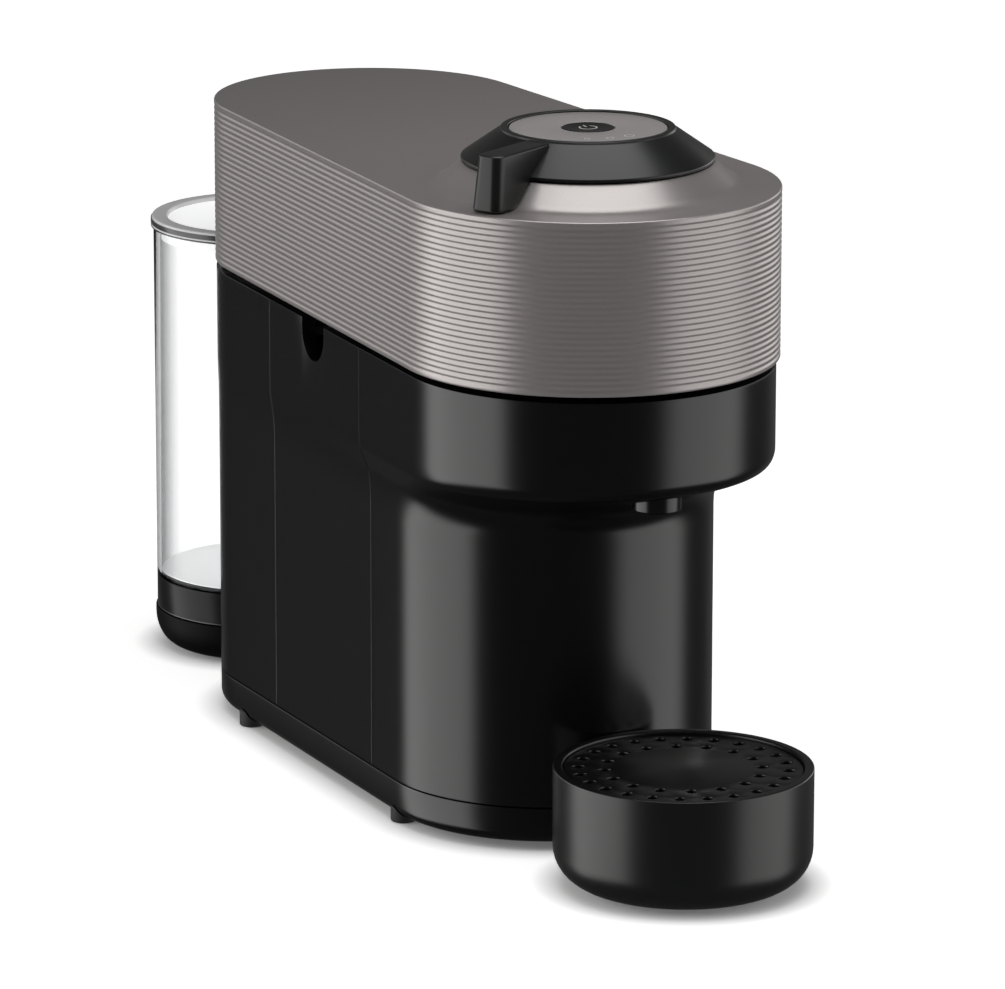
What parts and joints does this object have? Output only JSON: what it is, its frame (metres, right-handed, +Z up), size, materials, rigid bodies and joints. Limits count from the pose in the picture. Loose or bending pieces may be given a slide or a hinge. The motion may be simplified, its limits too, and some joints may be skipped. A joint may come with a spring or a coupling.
{
  "type": "pod coffee machine",
  "caption": "Compact pod coffee machine: grooved tapered hood on a rear hinge with a turning lock lever, round cup stand in front and a clear round water tank behind.",
  "frame": {"origin": "on the table, under the middle of the machine's bounding box", "axes": "+X the machine's left-to-right seen from the front, +Y from the cup stand to the water tank, +Z up"},
  "size_m": [0.1338, 0.4336, 0.251],
  "materials": {
    "hood_taupe": "satin metallic lacquer",
    "disc_taupe": "satin",
    "body_black": "satin",
    "knob_black": "satin",
    "gloss_black": "gloss",
    "stand_charcoal": "satin",
    "tank_clear": "clear gloss",
    "inner_dark": "matt",
    "rubber_black": "matt",
    "steel": "brushed",
    "motor_metal": "lacquered",
    "board_green": "satin",
    "hose_white": "satin",
    "heater_alloy": "cast"
  },
  "bodies": {
    "housing": {"front_shell": "body_black", "side_panel_left": "body_black", "side_panel_right": "body_black", "rear_shell": "body_black", "base_pan": "body_black", "base_screw_front_left": "steel", "base_screw_front_right": "steel", "base_screw_rear_left": "steel", "base_screw_rear_right": "steel", "foot_front_left": "rubber_black", "foot_front_right": "rubber_black", "foot_rear_left": "rubber_black", "foot_rear_right": "rubber_black", "foot_tank": "rubber_black", "top_deck": "inner_dark", "brew_chamber": "inner_dark", "coffee_outlet": "body_black", "holder_bearing": "steel", "drive_plate": "steel", "drive_motor": "motor_metal", "drive_belt": "rubber_black", "capsule_bin": "inner_dark", "frame_side_left": "inner_dark", "frame_side_right": "inner_dark", "hinge_bracket": "inner_dark", "hinge_pin": "steel", "pump": "motor_metal", "pump_mount": "rubber_black", "heater_block": "heater_alloy", "flow_meter": "hose_white", "main_board": "board_green", "hose_tank_meter": "hose_white", "hose_pump_heater": "hose_white", "hose_heater_deck": "hose_white", "cord_gland": "rubber_black", "tank_base": "body_black", "tank_probe": "rubber_black"},
    "head": {"head_cover": "hood_taupe", "head_plate": "inner_dark", "brew_bell": "inner_dark", "seal_ring": "rubber_black", "piercing_needle": "steel", "display_disc": "disc_taupe", "control_board": "board_green", "button_spring": "steel"},
    "lever": {"lock_lever": "knob_black", "lock_ring": "steel"},
    "button": {"start_button": "gloss_black"},
    "holder": {"capsule_holder": "steel", "holder_pulley": "inner_dark"},
    "rotor": {"motor_pulley": "inner_dark"},
    "stand": {"cup_stand": "stand_charcoal"},
    "grid": {"drip_grid": "stand_charcoal"},
    "tank": {"water_tank": "tank_clear", "tank_valve": "inner_dark"},
    "lid": {"tank_lid": "tank_clear"}
  },
  "joints": [
    {"name": "hood_hinge", "type": "hinge", "parent": "housing", "child": "head", "pos_m": [0, 0.1232, 0.1725], "axis": [-1, 0, 0], "range_deg": [0, 35]},
    {"name": "lever_turn", "type": "hinge", "parent": "head", "child": "lever", "pos_m": [0, -0.0988, 0.251], "axis": [0, 0, 1], "range_deg": [0, 60]},
    {"name": "button_press", "type": "slide", "parent": "head", "child": "button", "axis": [0, 0, -1], "range_m": [0, 0.0015], "stiffness_N_per_m": 400, "springref_m": -0.001, "deforming": ["button_spring"]},
    {"name": "holder_spin", "type": "hinge", "parent": "housing", "child": "holder", "pos_m": [0, -0.0988, 0.161], "axis": [0, 0, 1], "continuous": true},
    {"name": "motor_spin", "type": "hinge", "parent": "housing", "child": "rotor", "pos_m": [0, -0.0488, 0.103], "axis": [0, 0, 1], "continuous": true},
    {"name": "stand_slide", "type": "slide", "parent": "housing", "child": "stand", "axis": [0, -1, 0], "range_m": [0, 0.06]},
    {"name": "grid_lift", "type": "slide", "parent": "stand", "child": "grid", "axis": [0, 0, 1], "range_m": [0, 0.04]},
    {"name": "tank_lift", "type": "slide", "parent": "housing", "child": "tank", "axis": [0, 0, 1], "range_m": [0, 0.23]},
    {"name": "lid_lift", "type": "slide", "parent": "tank", "child": "lid", "axis": [0, 0, 1], "range_m": [0, 0.04]}
  ],
  "couplings": [
    {"joint": "motor_spin", "follows": "holder_spin", "ratio": 2}
  ]
}
